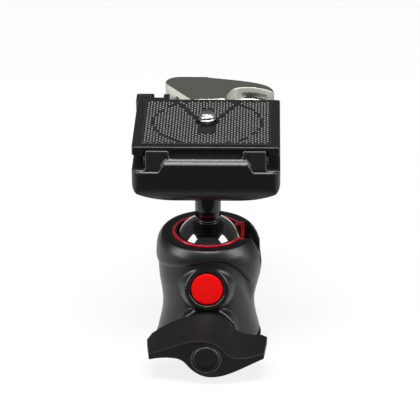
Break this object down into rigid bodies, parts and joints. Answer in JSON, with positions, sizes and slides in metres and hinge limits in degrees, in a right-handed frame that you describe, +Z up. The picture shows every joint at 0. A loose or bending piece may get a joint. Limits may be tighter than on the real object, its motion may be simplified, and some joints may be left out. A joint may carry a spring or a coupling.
{
  "type": "tripod ball head",
  "caption": "Small tripod ball head with a drop slot, a two-winged locking knob, a panning base and a lever clamp that holds a rectangular quick-release camera plate.",
  "frame": {"origin": "centre of the tripod thread in the base's flat underside", "axes": "+Z up along the ball head's axis, -Y towards the locking knob and badge, +X towards the drop slot"},
  "size_m": [0.0534, 0.0817, 0.092],
  "materials": {
    "base_metal": "black anodised, fine turned",
    "nylon": "natural nylon",
    "black_nylon": "moulded black nylon",
    "spring_steel": "bright spring steel",
    "machined_aluminium": "turned aluminium",
    "black_texture_paint": "fine textured black powder coat",
    "red_anodised": "red anodised",
    "red_badge": "glossy red, domed, bare",
    "steel": "zinc-plated steel",
    "brass": "turned brass",
    "black_knob_plastic": "moulded matte plastic",
    "black_gloss_plastic": "glossy moulded plastic",
    "black_polished_ball": "polished black anodised",
    "dark_chrome": "polished dark plated",
    "gunmetal_paint": "satin metallic grey paint",
    "plate_black": "black satin cast aluminium",
    "pad_rubber": "rubber with fine moulded dots",
    "screw_steel": "bright stainless steel thread"
  },
  "bodies": {
    "base": {"base_plate": "base_metal", "pan_friction_washer": "nylon", "pan_retaining_ring": "spring_steel", "pan_thrust_washer": "nylon"},
    "pan_housing": {"housing": "black_texture_paint", "accent_ring": "red_anodised", "badge_disc": "red_badge", "upper_seat": "black_nylon", "floor_disc": "machined_aluminium", "floor_circlip": "spring_steel", "spindle_bush": "brass"},
    "piston": {"push_piston": "machined_aluminium"},
    "brake": {"pan_brake_pad": "brass"},
    "wedge": {"lock_wedge": "steel"},
    "knob": {"wing_knob": "black_knob_plastic", "lock_spindle": "steel", "knob_insert": "brass", "knob_screw": "steel", "knob_cap": "black_gloss_plastic"},
    "cup": {"friction_cup": "black_nylon"},
    "sleeve": {"stem_sleeve": "dark_chrome"},
    "head": {"ball": "black_polished_ball", "receiver_body": "black_texture_paint", "receiver_screw": "steel", "receiver_dowel": "steel", "lever_pivot_pin": "steel", "pivot_clip": "spring_steel", "trigger_bush": "brass", "trigger_spring": "spring_steel", "lever_spring": "spring_steel"},
    "trigger": {"trigger_pin": "brass"},
    "lever": {"release_lever": "gunmetal_paint"},
    "catch": {"safety_catch": "black_gloss_plastic"},
    "plate": {"quick_release_plate": "plate_black", "plate_pad": "pad_rubber"},
    "screw": {"camera_screw": "screw_steel", "screw_retaining_ring": "spring_steel", "screw_d_ring": "steel"}
  },
  "joints": [
    {"name": "pan_rotation", "type": "hinge", "parent": "base", "child": "pan_housing", "pos_m": [0, 0, 0.003], "axis": [0, 0, 1], "continuous": true},
    {"name": "lock_knob", "type": "hinge", "parent": "wedge", "child": "knob", "pos_m": [0, -0.02, 0.011], "axis": [0, -1, 0], "range_deg": [0, 270]},
    {"name": "spindle_feed", "type": "slide", "parent": "pan_housing", "child": "wedge", "axis": [0, -1, 0], "range_m": [0, 0.00075]},
    {"name": "piston_drop", "type": "slide", "parent": "pan_housing", "child": "piston", "axis": [0, 0, -1], "range_m": [0, 0.000155]},
    {"name": "brake_lift", "type": "slide", "parent": "pan_housing", "child": "brake", "axis": [0, 0, 1], "range_m": [0, 0.000155]},
    {"name": "fore_aft_tilt", "type": "hinge", "parent": "pan_housing", "child": "cup", "pos_m": [0, 0, 0.0374], "axis": [1, 0, 0], "range_deg": [-25, 25]},
    {"name": "side_tilt", "type": "hinge", "parent": "cup", "child": "sleeve", "pos_m": [0, 0, 0.0374], "axis": [0, 1, 0], "range_deg": [-25, 90]},
    {"name": "stem_spin", "type": "hinge", "parent": "sleeve", "child": "head", "pos_m": [0, 0, 0.0374], "axis": [0, 0, 1], "continuous": true},
    {"name": "release_lever", "type": "hinge", "parent": "head", "child": "lever", "pos_m": [0.019, 0.027, 0.08], "axis": [0, 0, -1], "range_deg": [0, 95], "stiffness_Nm_per_rad": 0.02, "springref_deg": -20.05},
    {"name": "plate_lift", "type": "hinge", "parent": "head", "child": "plate", "pos_m": [0, -0.02125, 0.08665], "axis": [1, 0, 0], "range_deg": [0, 12]},
    {"name": "trigger_rise", "type": "slide", "parent": "head", "child": "trigger", "axis": [0, 0, 1], "range_m": [0, 0.0032], "deforming": ["trigger_spring"]},
    {"name": "safety_catch", "type": "slide", "parent": "head", "child": "catch", "axis": [1, 0, 0], "range_m": [0, 0.0032]},
    {"name": "camera_screw_turn", "type": "hinge", "parent": "plate", "child": "screw", "pos_m": [0, 0, 0.088], "axis": [0, 0, 1], "continuous": true}
  ],
  "couplings": [
    {"joint": "lock_knob", "follows": "spindle_feed", "rad_per_m": 6283.2},
    {"joint": "piston_drop", "follows": "spindle_feed", "ratio": 0.2},
    {"joint": "brake_lift", "follows": "spindle_feed", "ratio": 0.2},
    {"joint": "plate_lift", "follows": "release_lever", "ratio": 0.12631},
    {"joint": "trigger_rise", "follows": "release_lever", "m_per_rad": 0.0019}
  ]
}
